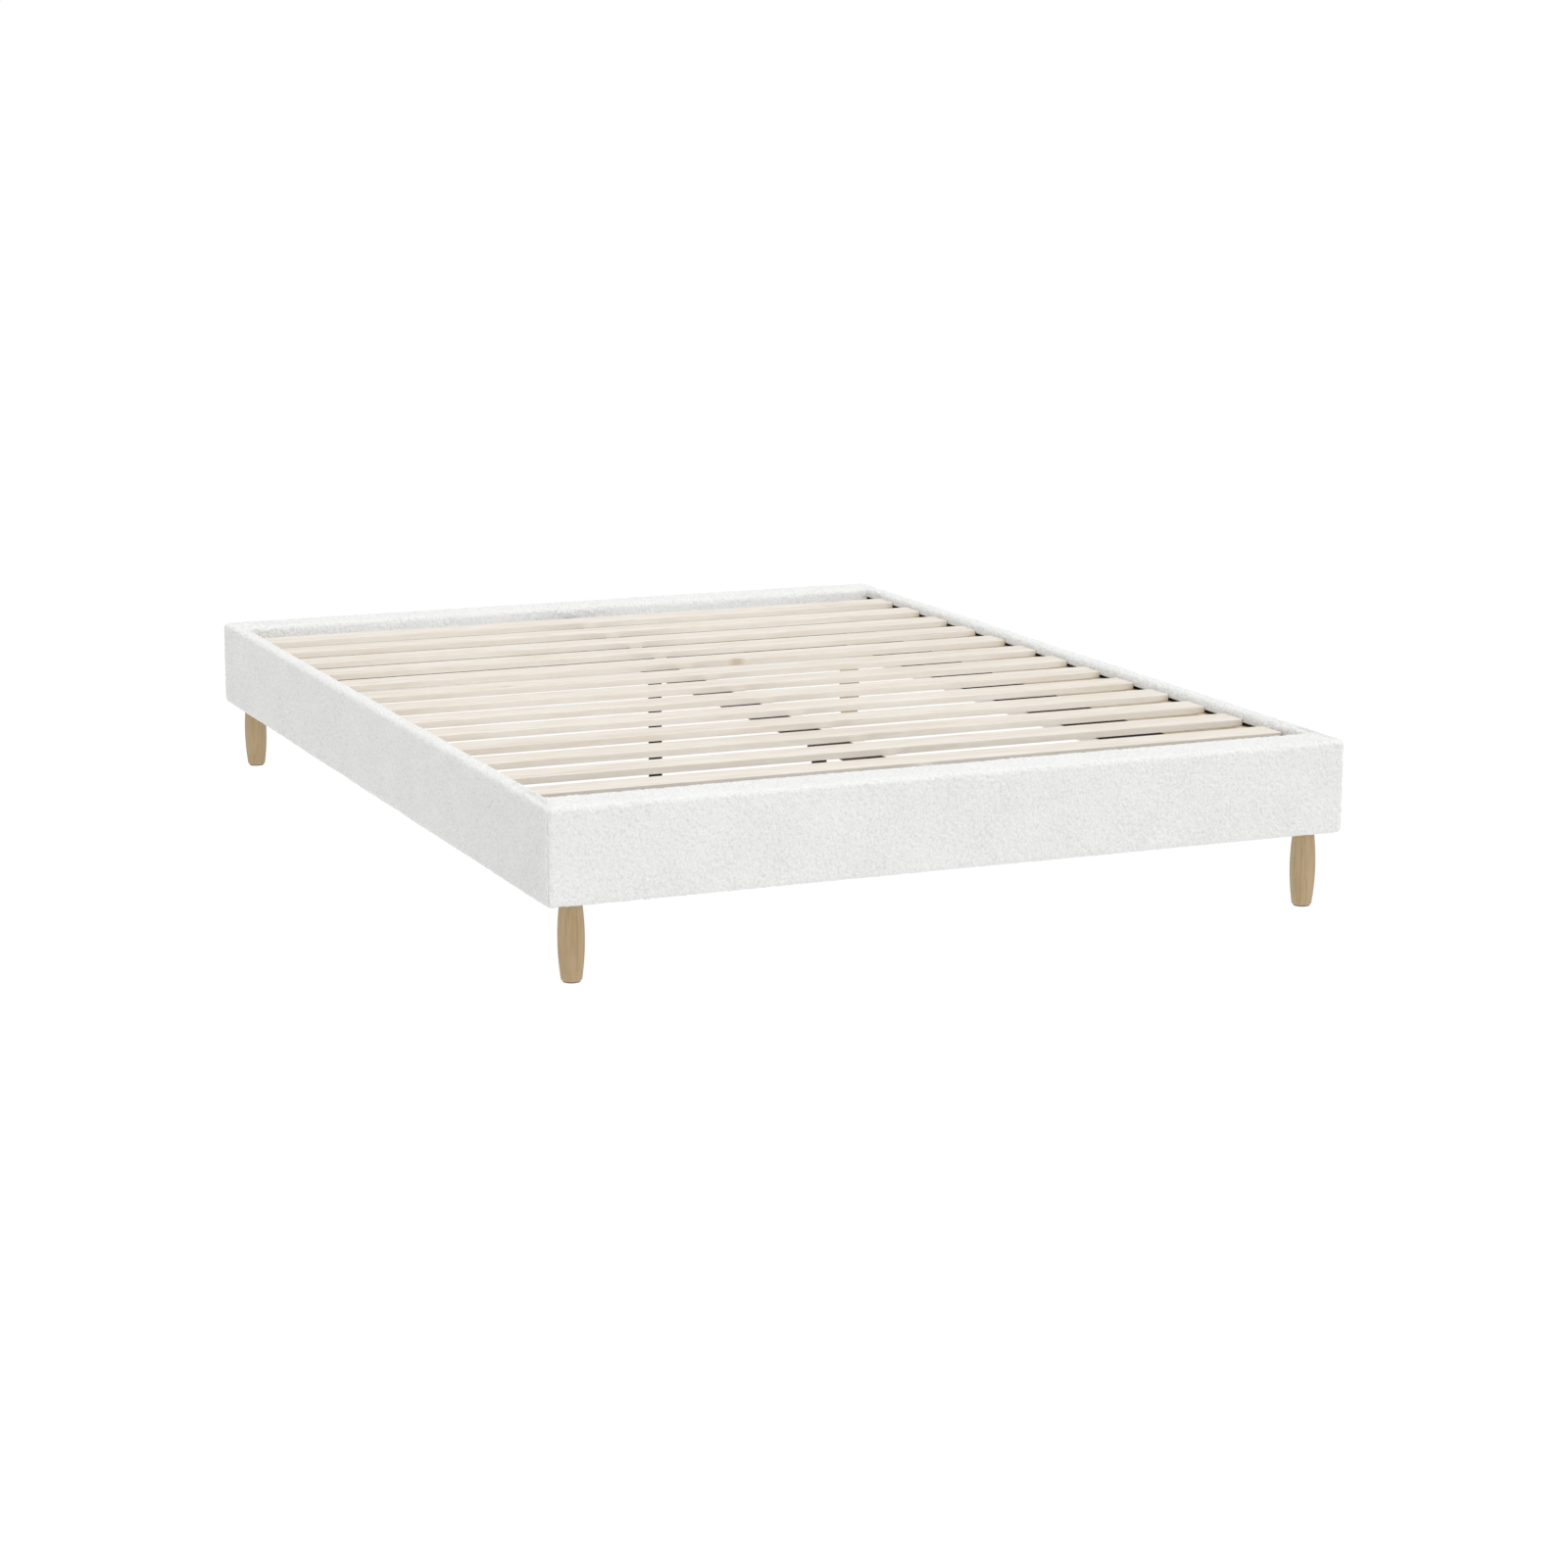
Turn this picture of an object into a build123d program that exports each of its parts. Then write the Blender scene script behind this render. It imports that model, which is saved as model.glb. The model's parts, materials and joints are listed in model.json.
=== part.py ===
"""Upholstered platform bed base: padded rails, pine slats, centre beam and six legs.

Frame: origin on the floor under the middle of the bed, +X across, +Y towards the head, +Z up.
Every length is in millimetres.
"""

import os

from build123d import *

# ---------------------------------------------------------------- driving dimensions
MATTRESS_WIDTH = 1530
MATTRESS_LENGTH = 2030
WIDTH_PLAY = 14
LENGTH_PLAY = 8

SIDE_THICKNESS = 31
END_THICKNESS = 95
LEG_HEIGHT = 146
RAIL_HEIGHT = 180

COVER = 2.5
SIDE_LIP_LIFT = 7
END_LIP_DROP = 5
LOWER_LIP_HEIGHT = 20
OUTER_FOAM = 6.0
INNER_FOAM = 2.0
LINING = 1.0
LINING_LIFT = 1.0

SLAT_COUNT = 13
SLAT_WIDTH = 70
SLAT_THICKNESS = 14
SLAT_PITCH = 150.5
SLAT_DROP = 12.5
SLAT_END_GAP = 5

HEAD_CORNER_RADIUS = 22
FOOT_CORNER_RADIUS = 12
EDGE_RADIUS = 8
RECESS_CORNER_RADIUS = 4
RECESS_EDGE_CUT = 3
PANEL_CORNER_RADIUS = 11

PANEL = 12
SIDE_BOARD = 18
LEG_INSET_X = 59.5
LEG_INSET_Y = 46
FIT = 0.1
STAPLE_GAP = 0.2

SCREW_RADIUS = 2
SCREW_HEAD_RADIUS = 4
DOWEL_RADIUS = 4
DOWEL_IN_SLAT = 8
DOWEL_IN_LEDGE = 12
DOWEL_SET_IN = 4
LEG_BOLT_RADIUS = 4
LEG_BOLT_IN_LEG = 40
LEG_BOLT_ABOVE = 36
LEG_BOLT_CLEARANCE = 7

# ---------------------------------------------------------------- worked out from them
RECESS_WIDTH = MATTRESS_WIDTH + WIDTH_PLAY
RECESS_LENGTH = MATTRESS_LENGTH + LENGTH_PLAY
WIDTH = RECESS_WIDTH + 2 * SIDE_THICKNESS
LENGTH = RECESS_LENGTH + 2 * END_THICKNESS
HALF_W = WIDTH / 2
HALF_L = LENGTH / 2
RECESS_X = RECESS_WIDTH / 2
RECESS_Y = RECESS_LENGTH / 2
RAIL_BOTTOM = LEG_HEIGHT
RAIL_TOP = LEG_HEIGHT + RAIL_HEIGHT

SLAT_TOP = RAIL_TOP - SLAT_DROP
SLAT_BOTTOM = SLAT_TOP - SLAT_THICKNESS
SLAT_HALF_LENGTH = RECESS_X - SLAT_END_GAP

FRAME_OUT = COVER + OUTER_FOAM
FRAME_IN = COVER + INNER_FOAM
FRAME_X_OUT = HALF_W - FRAME_OUT
FRAME_Y_OUT = HALF_L - FRAME_OUT
FRAME_X_IN = RECESS_X + FRAME_IN
FRAME_Y_IN = RECESS_Y + FRAME_IN
FRAME_BOTTOM = RAIL_BOTTOM + COVER + STAPLE_GAP
FRAME_TOP = RAIL_TOP - FRAME_OUT
FRAME_HEIGHT = FRAME_TOP - FRAME_BOTTOM

SIDE_LIP_BOTTOM = SLAT_BOTTOM + SIDE_LIP_LIFT
END_LIP_BOTTOM = SLAT_BOTTOM - END_LIP_DROP
LOWER_LIP_TOP = RAIL_BOTTOM + LOWER_LIP_HEIGHT

LINING_X = FRAME_X_IN - LINING
LINING_Y = FRAME_Y_IN - LINING
LEDGE_WIDTH = 27
LEDGE_HEIGHT = 64
LEDGE_HALF_LENGTH = RECESS_Y - 0.5
LEDGE_EDGE_CUT = 1.5
DOWEL_X = LINING_X - LEDGE_WIDTH / 2 - DOWEL_SET_IN
slat_places = [(number - (SLAT_COUNT - 1) / 2) * SLAT_PITCH for number in range(SLAT_COUNT)]

LEG_X = HALF_W - LEG_INSET_X
LEG_Y = HALF_L - LEG_INSET_Y

BEAM_WIDTH = 30
BEAM_HEIGHT = 43
BEAM_WALL = 2
FELT_THICKNESS = 1.5
FELT_WIDTH = 26
BEAM_TOP = SLAT_BOTTOM - FELT_THICKNESS
BEAM_BOTTOM = BEAM_TOP - BEAM_HEIGHT
BEAM_HALF_LENGTH = RECESS_Y - 0.5
HANGER_PLATE = 2
HANGER_Y = LINING_Y - HANGER_PLATE

CENTRE_LEG_Y = 454
CENTRE_LEG_RADIUS = 15
CENTRE_LEG_WALL = 2.5
CENTRE_LEG_FLANGE = 3
CENTRE_LEG_FOOT_GAP = 0.3
LEVELLER_HEIGHT = 16
LEVELLER_RADIUS = 16
LEVELLER_NUT_RADIUS = 10
STEM_RADIUS = 5
STEM_LENGTH = 45
STEM_PLAY = 0.3

BRACKET_PLATE = 3
BRACKET_ARM = 60
BRACKET_HEIGHT = 56
BRACKET_MIDDLE = 204
BOLT_RADIUS = 3
BOLT_OFFSETS = (24, 46)
SIDE_BOLT_BITE = 14
END_BOLT_BITE = 20

os.makedirs("parts", exist_ok=True)


def save(builder, name):
    """Label one finished piece and write it as its own file."""
    builder.part.label = name
    export_step(builder.part, f"parts/{name}.step")


def cylinder_along(plane, radius, start, end):
    """A round bar on the plane's normal, from start to end along it."""
    with BuildPart() as bar:
        with BuildSketch(plane.offset(start)):
            Circle(radius)
        extrude(amount=end - start)
    return bar.part


def countersunk_screw(plane, length):
    """A wood screw whose flat head lies on the plane and whose shank runs along its normal."""
    head_depth = SCREW_HEAD_RADIUS - SCREW_RADIUS
    with BuildPart() as screw:
        with BuildSketch(Plane(plane.origin, x_dir=plane.x_dir, z_dir=plane.y_dir)):
            with BuildLine():
                Polyline(
                    (0, 0),
                    (SCREW_HEAD_RADIUS, 0),
                    (SCREW_RADIUS, -head_depth),
                    (SCREW_RADIUS, -length + SCREW_RADIUS),
                    (0, -length),
                    close=True,
                )
            make_face()
        revolve(axis=Axis(plane.origin, plane.z_dir))
    return screw.part


def button_bolt(plane, length, head_radius=6, head_height=4, socket_radius=2.3, socket_depth=2.5):
    """A bolt whose shank runs along the plane's normal and whose domed head stands behind it."""
    with BuildPart() as bolt:
        with BuildSketch(plane):
            Circle(BOLT_RADIUS)
        extrude(amount=length)
        with BuildSketch(plane):
            Circle(head_radius)
        extrude(amount=-head_height)
        dome = bolt.edges().filter_by(GeomType.CIRCLE).group_by(SortBy.RADIUS)[-1]
        rim = max(dome, key=lambda edge: (plane.origin - edge.center()).dot(plane.z_dir))
        fillet(rim, head_height / 2)
        with BuildSketch(plane.offset(-head_height)):
            RegularPolygon(radius=socket_radius, side_count=6)
        extrude(amount=socket_depth, mode=Mode.SUBTRACT)
    return bolt.part


# ---------------------------------------------------------------- upholstery envelope
def rail_ring(inset, recess_inset, bottom, top, edge_radius, rounded=True):
    """The whole ring of four rails as one solid, set in from the outer surface."""
    with BuildPart() as ring:
        with BuildSketch(Plane.XY.offset(bottom)):
            Rectangle(WIDTH - 2 * inset, LENGTH - 2 * inset)
        extrude(amount=top - bottom)
        if rounded:
            upright = ring.edges().filter_by(Axis.Z).group_by(Axis.Y)
            fillet(upright[-1], HEAD_CORNER_RADIUS - inset)
            upright = ring.edges().filter_by(Axis.Z).group_by(Axis.Y)
            fillet(upright[0], FOOT_CORNER_RADIUS - inset)
            rims = ring.faces().filter_by(Plane.XY).edges()
            fillet(rims, edge_radius)
        with BuildSketch(Plane.XY.offset(bottom)):
            RectangleRounded(
                RECESS_WIDTH + 2 * recess_inset,
                RECESS_LENGTH + 2 * recess_inset,
                RECESS_CORNER_RADIUS,
            )
        extrude(amount=top - bottom, mode=Mode.SUBTRACT)
        if rounded:
            inner_rim = ring.faces().filter_by(Plane.XY).sort_by(Axis.Z)[-1].inner_wires()[0]
            fillet(inner_rim.edges(), edge_radius - RECESS_EDGE_CUT)
    return ring.part


def recess_block(reach_x, reach_y, bottom, top):
    """The recess between two heights, widened by a reach behind the rails' inner faces."""
    with BuildPart() as block:
        with BuildSketch(Plane.XY.offset(bottom)):
            Rectangle(RECESS_WIDTH + 2 * reach_x, RECESS_LENGTH + 2 * reach_y)
        extrude(amount=top - bottom)
    return block.part


def segment_points(segment):
    """Plan outline of one rail's share of the ring: butt joints at the head, mitres at the foot.

    The mitre line runs through the recess corner and the outer corner, and on past both.
    """
    far_x = HALF_W + SIDE_THICKNESS
    far_y = HALF_L + END_THICKNESS
    near_x = RECESS_X - SIDE_THICKNESS
    near_y = RECESS_Y - END_THICKNESS
    if segment == "head":
        return [(-far_x, RECESS_Y), (far_x, RECESS_Y), (far_x, far_y), (-far_x, far_y)]
    if segment == "foot":
        return [(-near_x, -near_y), (near_x, -near_y), (far_x, -far_y), (-far_x, -far_y)]
    side = -1 if segment == "left" else 1
    corners = [(far_x, RECESS_Y), (near_x, RECESS_Y), (near_x, -near_y), (far_x, -far_y)]
    return [(side * x, y) for x, y in corners]


def segment_prism(segment):
    """The space that one rail's share of the ring lies in."""
    with BuildPart() as prism:
        with BuildSketch():
            with BuildLine():
                Polyline(*segment_points(segment), close=True)
            make_face()
        extrude(amount=RAIL_TOP + RAIL_HEIGHT)
    return prism.part


outer_ring = rail_ring(0, 0, RAIL_BOTTOM, RAIL_TOP, EDGE_RADIUS)
core_ring = rail_ring(COVER, COVER, RAIL_BOTTOM + COVER, RAIL_TOP - COVER, EDGE_RADIUS - COVER)
frame_ring = rail_ring(FRAME_OUT, FRAME_IN, FRAME_BOTTOM, FRAME_TOP, 0, rounded=False)
behind_lips = FRAME_IN + LINING
side_lip_openings = recess_block(behind_lips, 0, LOWER_LIP_TOP, SIDE_LIP_BOTTOM)
end_lip_openings = recess_block(behind_lips, behind_lips, LOWER_LIP_TOP, END_LIP_BOTTOM)
below_inner_foam = recess_block(FRAME_IN, FRAME_IN, RAIL_BOTTOM, SIDE_LIP_BOTTOM)

corner_signs = [(sx, sy) for sx in (-1, 1) for sy in (-1, 1)]
leg_bolt_planes = [Plane((sx * LEG_X, sy * LEG_Y, LEG_HEIGHT)) for sx, sy in corner_signs]
leg_bolt_clearances = [
    cylinder_along(plane, LEG_BOLT_CLEARANCE, -COVER, 2 * COVER) for plane in leg_bolt_planes
]

with BuildPart() as cover_ring:
    add(outer_ring)
    add(core_ring, mode=Mode.SUBTRACT)
    add(side_lip_openings, mode=Mode.SUBTRACT)
    add(end_lip_openings, mode=Mode.SUBTRACT)
    for clearance in leg_bolt_clearances:
        add(clearance, mode=Mode.SUBTRACT)

with BuildPart() as foam_ring:
    add(core_ring)
    add(frame_ring, mode=Mode.SUBTRACT)
    add(below_inner_foam, mode=Mode.SUBTRACT)
    for clearance in leg_bolt_clearances:
        add(clearance, mode=Mode.SUBTRACT)

SEGMENTS = {"head": "head", "foot": "foot", "left": "side_left", "right": "side_right"}
for segment, rail_name in SEGMENTS.items():
    prism = segment_prism(segment)
    with BuildPart() as cover:
        add(cover_ring.part)
        add(prism, mode=Mode.INTERSECT)
    save(cover, f"{rail_name}_cover")
    with BuildPart() as foam:
        add(foam_ring.part)
        add(prism, mode=Mode.INTERSECT)
    save(foam, f"{rail_name}_foam")

# ---------------------------------------------------------------- fasteners in the rails
side_bolt_planes = []
end_bolt_planes = []
for sx, sy in corner_signs:
    for offset_along in BOLT_OFFSETS:
        side_seat = (sx * (LINING_X - BRACKET_PLATE), sy * (LINING_Y - offset_along), BRACKET_MIDDLE)
        side_bolt_planes.append(Plane(side_seat, x_dir=(0, 0, 1), z_dir=(sx, 0, 0)))
        end_seat = (sx * (LINING_X - offset_along), sy * (LINING_Y - BRACKET_PLATE), BRACKET_MIDDLE)
        end_bolt_planes.append(Plane(end_seat, x_dir=(0, 0, 1), z_dir=(0, sy, 0)))
SIDE_BOLT_LENGTH = BRACKET_PLATE + LINING + SIDE_BOLT_BITE
END_BOLT_LENGTH = BRACKET_PLATE + LINING + END_BOLT_BITE

bracket_bolt_holes = [
    cylinder_along(plane, BOLT_RADIUS + FIT, -FIT, length + FIT)
    for planes, length in ((side_bolt_planes, SIDE_BOLT_LENGTH), (end_bolt_planes, END_BOLT_LENGTH))
    for plane in planes
]

LEDGE_SCREW_LENGTH = 38
LEDGE_SCREW_DROP = 36
LEDGE_SCREW_PITCH = 2 * SLAT_PITCH
LEDGE_SCREW_COUNT = 7
ledge_screw_planes = []
for sx in (-1, 1):
    for number in range(LEDGE_SCREW_COUNT):
        screw_y = (number - (LEDGE_SCREW_COUNT - 1) / 2) * LEDGE_SCREW_PITCH
        seat = (sx * (LINING_X - LEDGE_WIDTH), screw_y, SLAT_BOTTOM - LEDGE_SCREW_DROP)
        ledge_screw_planes.append(Plane(seat, x_dir=(0, 1, 0), z_dir=(sx, 0, 0)))

HANGER_EAR_X = 28
HANGER_SCREW_HEIGHTS = (8, 28)
HANGER_SCREW_LENGTH = 13
hanger_screw_planes = []
for sx, sy in corner_signs:
    for height in HANGER_SCREW_HEIGHTS:
        seat = (sx * HANGER_EAR_X, sy * HANGER_Y, BEAM_BOTTOM + height)
        hanger_screw_planes.append(Plane(seat, x_dir=(1, 0, 0), z_dir=(0, sy, 0)))

FLANGE_SCREW_OFFSET = 22
FLANGE_SCREW_LENGTH = 11
flange_screw_planes = [
    Plane((0, sy * CENTRE_LEG_Y + side * FLANGE_SCREW_OFFSET, BEAM_BOTTOM - CENTRE_LEG_FLANGE))
    for sy in (-1, 1)
    for side in (-1, 1)
]


def screw_clearance(plane, length):
    """A plain hole, a little wider than the screw, with the seat for its head."""
    with BuildPart() as hole:
        add(cylinder_along(plane, SCREW_RADIUS + FIT, -FIT, length + FIT))
        with BuildSketch(plane):
            Circle(SCREW_HEAD_RADIUS + FIT)
        with BuildSketch(plane.offset(SCREW_HEAD_RADIUS - SCREW_RADIUS)):
            Circle(SCREW_RADIUS + FIT)
        loft()
    return hole.part


ledge_screw_holes = [screw_clearance(plane, LEDGE_SCREW_LENGTH) for plane in ledge_screw_planes]
hanger_screw_holes = [screw_clearance(plane, HANGER_SCREW_LENGTH) for plane in hanger_screw_planes]
flange_screw_holes = [screw_clearance(plane, FLANGE_SCREW_LENGTH) for plane in flange_screw_planes]

# ---------------------------------------------------------------- side rails
for side, side_name in ((-1, "left"), (1, "right")):
    board_x = side * (FRAME_X_IN + FRAME_X_OUT) / 2
    with BuildPart() as side_board:
        with BuildSketch(Plane.XY.offset(FRAME_BOTTOM)):
            with Locations((board_x, 0)):
                Rectangle(FRAME_X_OUT - FRAME_X_IN, 2 * FRAME_Y_IN)
        extrude(amount=FRAME_HEIGHT)
        for hole in bracket_bolt_holes + ledge_screw_holes:
            add(hole, mode=Mode.SUBTRACT)
    save(side_board, f"side_{side_name}_board")

    with BuildPart() as lining:
        with BuildSketch(Plane.XY.offset(FRAME_BOTTOM + LINING_LIFT)):
            with Locations((side * (LINING_X + LINING / 2), 0)):
                Rectangle(LINING, 2 * LINING_Y)
        extrude(amount=SIDE_LIP_BOTTOM - FRAME_BOTTOM - LINING_LIFT)
        for hole in bracket_bolt_holes + ledge_screw_holes:
            add(hole, mode=Mode.SUBTRACT)
    save(lining, f"side_{side_name}_lining")

    with BuildPart() as ledge:
        with BuildSketch(Plane.XY.offset(SLAT_BOTTOM - LEDGE_HEIGHT)):
            with Locations((side * (LINING_X - LEDGE_WIDTH / 2), 0)):
                Rectangle(LEDGE_WIDTH, 2 * LEDGE_HALF_LENGTH)
        extrude(amount=LEDGE_HEIGHT)
        chamfer(ledge.edges().filter_by(Axis.Y), LEDGE_EDGE_CUT)
        for hole in ledge_screw_holes:
            add(hole, mode=Mode.SUBTRACT)
        for slat_y in slat_places:
            seat = Plane((side * DOWEL_X, slat_y, SLAT_BOTTOM))
            add(cylinder_along(seat, DOWEL_RADIUS + FIT, -DOWEL_IN_LEDGE - FIT, FIT), mode=Mode.SUBTRACT)
    save(ledge, f"side_{side_name}_ledge")

# ---------------------------------------------------------------- head and foot box frames
BOX_MIDDLE_Y = (FRAME_Y_IN + FRAME_Y_OUT) / 2
BOX_CLEAR_DEPTH = FRAME_Y_OUT - FRAME_Y_IN - 2 * PANEL
LEG_BLOCK_WIDTH = 96
LEG_BLOCK_HEIGHT = FRAME_HEIGHT - 2 * PANEL
SPACER_WIDTH = 40
SPACER_X = (-450, 0, 450)
TEE_NUT_FLANGE = 1.5
TEE_NUT_FLANGE_RADIUS = 10
TEE_NUT_BARREL = 9
TEE_NUT_BARREL_RADIUS = 5
TEE_NUT_SEAT = FRAME_BOTTOM + PANEL - LEG_HEIGHT

tee_nut_pockets = [
    cylinder_along(plane, TEE_NUT_FLANGE_RADIUS + 1, TEE_NUT_SEAT - FIT, TEE_NUT_SEAT + 2 * TEE_NUT_FLANGE)
    for plane in leg_bolt_planes
]
leg_bolt_holes = [
    cylinder_along(plane, TEE_NUT_BARREL_RADIUS + FIT, 0, LEG_BOLT_ABOVE + LEG_BOLT_CLEARANCE)
    for plane in leg_bolt_planes
]

for end, end_name in ((1, "head"), (-1, "foot")):
    for panel_name, face_y in (("inner_panel", FRAME_Y_IN), ("outer_panel", FRAME_Y_OUT - PANEL)):
        with BuildPart() as panel:
            with BuildSketch(Plane.XY.offset(FRAME_BOTTOM)):
                with Locations((0, end * (face_y + PANEL / 2))):
                    Rectangle(2 * FRAME_X_OUT, PANEL)
            extrude(amount=FRAME_HEIGHT)
            if panel_name == "inner_panel":
                for hole in bracket_bolt_holes + hanger_screw_holes:
                    add(hole, mode=Mode.SUBTRACT)
            else:
                outward = panel.edges().filter_by(Axis.Z).group_by(Axis.Y)
                fillet(outward[-1 if end > 0 else 0], PANEL_CORNER_RADIUS)
        save(panel, f"{end_name}_{panel_name}")

    for board_name, board_z in (("bottom_board", FRAME_BOTTOM), ("top_board", FRAME_TOP - PANEL)):
        with BuildPart() as board:
            with BuildSketch(Plane.XY.offset(board_z)):
                with Locations((0, end * BOX_MIDDLE_Y)):
                    Rectangle(2 * FRAME_X_OUT, BOX_CLEAR_DEPTH)
            extrude(amount=PANEL)
            if board_name == "bottom_board":
                for hole in leg_bolt_holes:
                    add(hole, mode=Mode.SUBTRACT)
        save(board, f"{end_name}_{board_name}")

    with BuildPart() as leg_blocks:
        with BuildSketch(Plane.XY.offset(FRAME_BOTTOM + PANEL)):
            for sx in (-1, 1):
                with Locations((sx * (FRAME_X_OUT - LEG_BLOCK_WIDTH / 2), end * BOX_MIDDLE_Y)):
                    Rectangle(LEG_BLOCK_WIDTH, BOX_CLEAR_DEPTH)
        extrude(amount=LEG_BLOCK_HEIGHT)
        for hole in leg_bolt_holes + tee_nut_pockets + bracket_bolt_holes:
            add(hole, mode=Mode.SUBTRACT)
    save(leg_blocks, f"{end_name}_leg_blocks")

    with BuildPart() as end_lining:
        with BuildSketch(Plane.XY.offset(FRAME_BOTTOM + LINING_LIFT)):
            with Locations((0, end * (LINING_Y + LINING / 2))):
                Rectangle(2 * FRAME_X_IN, LINING)
        extrude(amount=SIDE_LIP_BOTTOM - FRAME_BOTTOM - LINING_LIFT)
        for hole in bracket_bolt_holes + hanger_screw_holes:
            add(hole, mode=Mode.SUBTRACT)
    save(end_lining, f"{end_name}_lining")

with BuildPart() as frame_spacers:
    with BuildSketch(Plane.XY.offset(FRAME_BOTTOM + PANEL)):
        with Locations(*[(x, sy * BOX_MIDDLE_Y) for x in SPACER_X for sy in (-1, 1)]):
            Rectangle(SPACER_WIDTH, BOX_CLEAR_DEPTH)
    extrude(amount=LEG_BLOCK_HEIGHT)
    for hole in hanger_screw_holes:
        add(hole, mode=Mode.SUBTRACT)
save(frame_spacers, "frame_spacers")

# ---------------------------------------------------------------- corner brackets and bolts
with BuildPart() as corner_brackets:
    for sx, sy in corner_signs:
        with BuildSketch(Plane.XY.offset(BRACKET_MIDDLE - BRACKET_HEIGHT / 2)):
            with BuildLine():
                Polyline(
                    (sx * LINING_X, sy * LINING_Y),
                    (sx * LINING_X, sy * (LINING_Y - BRACKET_ARM)),
                    (sx * (LINING_X - BRACKET_PLATE), sy * (LINING_Y - BRACKET_ARM)),
                    (sx * (LINING_X - BRACKET_PLATE), sy * (LINING_Y - BRACKET_PLATE)),
                    (sx * (LINING_X - BRACKET_ARM), sy * (LINING_Y - BRACKET_PLATE)),
                    (sx * (LINING_X - BRACKET_ARM), sy * LINING_Y),
                    close=True,
                )
            make_face()
        extrude(amount=BRACKET_HEIGHT)
    for hole in bracket_bolt_holes:
        add(hole, mode=Mode.SUBTRACT)
save(corner_brackets, "corner_brackets")

with BuildPart() as bracket_bolts:
    for bolt_plane in side_bolt_planes:
        add(button_bolt(bolt_plane, SIDE_BOLT_LENGTH))
    for bolt_plane in end_bolt_planes:
        add(button_bolt(bolt_plane, END_BOLT_LENGTH))
save(bracket_bolts, "bracket_bolts")

with BuildPart() as ledge_screws:
    for screw_plane in ledge_screw_planes:
        add(countersunk_screw(screw_plane, LEDGE_SCREW_LENGTH))
save(ledge_screws, "ledge_screws")

with BuildPart() as hardware_screws:
    for screw_plane in hanger_screw_planes:
        add(countersunk_screw(screw_plane, HANGER_SCREW_LENGTH))
    for screw_plane in flange_screw_planes:
        add(countersunk_screw(screw_plane, FLANGE_SCREW_LENGTH))
save(hardware_screws, "hardware_screws")

# ---------------------------------------------------------------- slats
SLAT_EDGE_RADIUS = 2
SLAT_END_RADIUS = 0.8

for number, slat_y in enumerate(reversed(slat_places), start=1):
    with BuildPart() as slat:
        with BuildSketch(Plane.XY.offset(SLAT_BOTTOM)):
            with Locations((0, slat_y)):
                Rectangle(2 * SLAT_HALF_LENGTH, SLAT_WIDTH)
        extrude(amount=SLAT_THICKNESS)
        fillet(slat.edges().filter_by(Axis.X), SLAT_EDGE_RADIUS)
        fillet(slat.faces().filter_by(Axis.X).edges(), SLAT_END_RADIUS)
        for sx in (-1, 1):
            seat = Plane((sx * DOWEL_X, slat_y, SLAT_BOTTOM))
            add(cylinder_along(seat, DOWEL_RADIUS + FIT, -FIT, DOWEL_IN_SLAT + FIT), mode=Mode.SUBTRACT)
    save(slat, f"slat_{number:02d}")

with BuildPart() as slat_dowels:
    for slat_y in slat_places:
        for sx in (-1, 1):
            seat = Plane((sx * DOWEL_X, slat_y, SLAT_BOTTOM))
            add(cylinder_along(seat, DOWEL_RADIUS, -DOWEL_IN_LEDGE, DOWEL_IN_SLAT))
save(slat_dowels, "slat_dowels")

# ---------------------------------------------------------------- centre beam
BEAM_CORNER_RADIUS = 3
FELT_END_GAP = 10
FELT_CORNER_RADIUS = 4
with BuildPart() as centre_beam:
    with BuildSketch(Plane.XZ.offset(-BEAM_HALF_LENGTH)):
        with Locations((0, (BEAM_TOP + BEAM_BOTTOM) / 2)):
            RectangleRounded(BEAM_WIDTH, BEAM_HEIGHT, BEAM_CORNER_RADIUS)
            RectangleRounded(
                BEAM_WIDTH - 2 * BEAM_WALL,
                BEAM_HEIGHT - 2 * BEAM_WALL,
                BEAM_CORNER_RADIUS - BEAM_WALL,
                mode=Mode.SUBTRACT,
            )
    extrude(amount=2 * BEAM_HALF_LENGTH)
    for hole in flange_screw_holes:
        add(hole, mode=Mode.SUBTRACT)
save(centre_beam, "centre_beam")

with BuildPart() as beam_felt_strip:
    with BuildSketch(Plane.XY.offset(BEAM_TOP)):
        Rectangle(FELT_WIDTH, 2 * (BEAM_HALF_LENGTH - FELT_END_GAP))
    extrude(amount=FELT_THICKNESS)
    fillet(beam_felt_strip.edges().filter_by(Axis.Z), FELT_CORNER_RADIUS)
save(beam_felt_strip, "beam_felt_strip")

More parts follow.
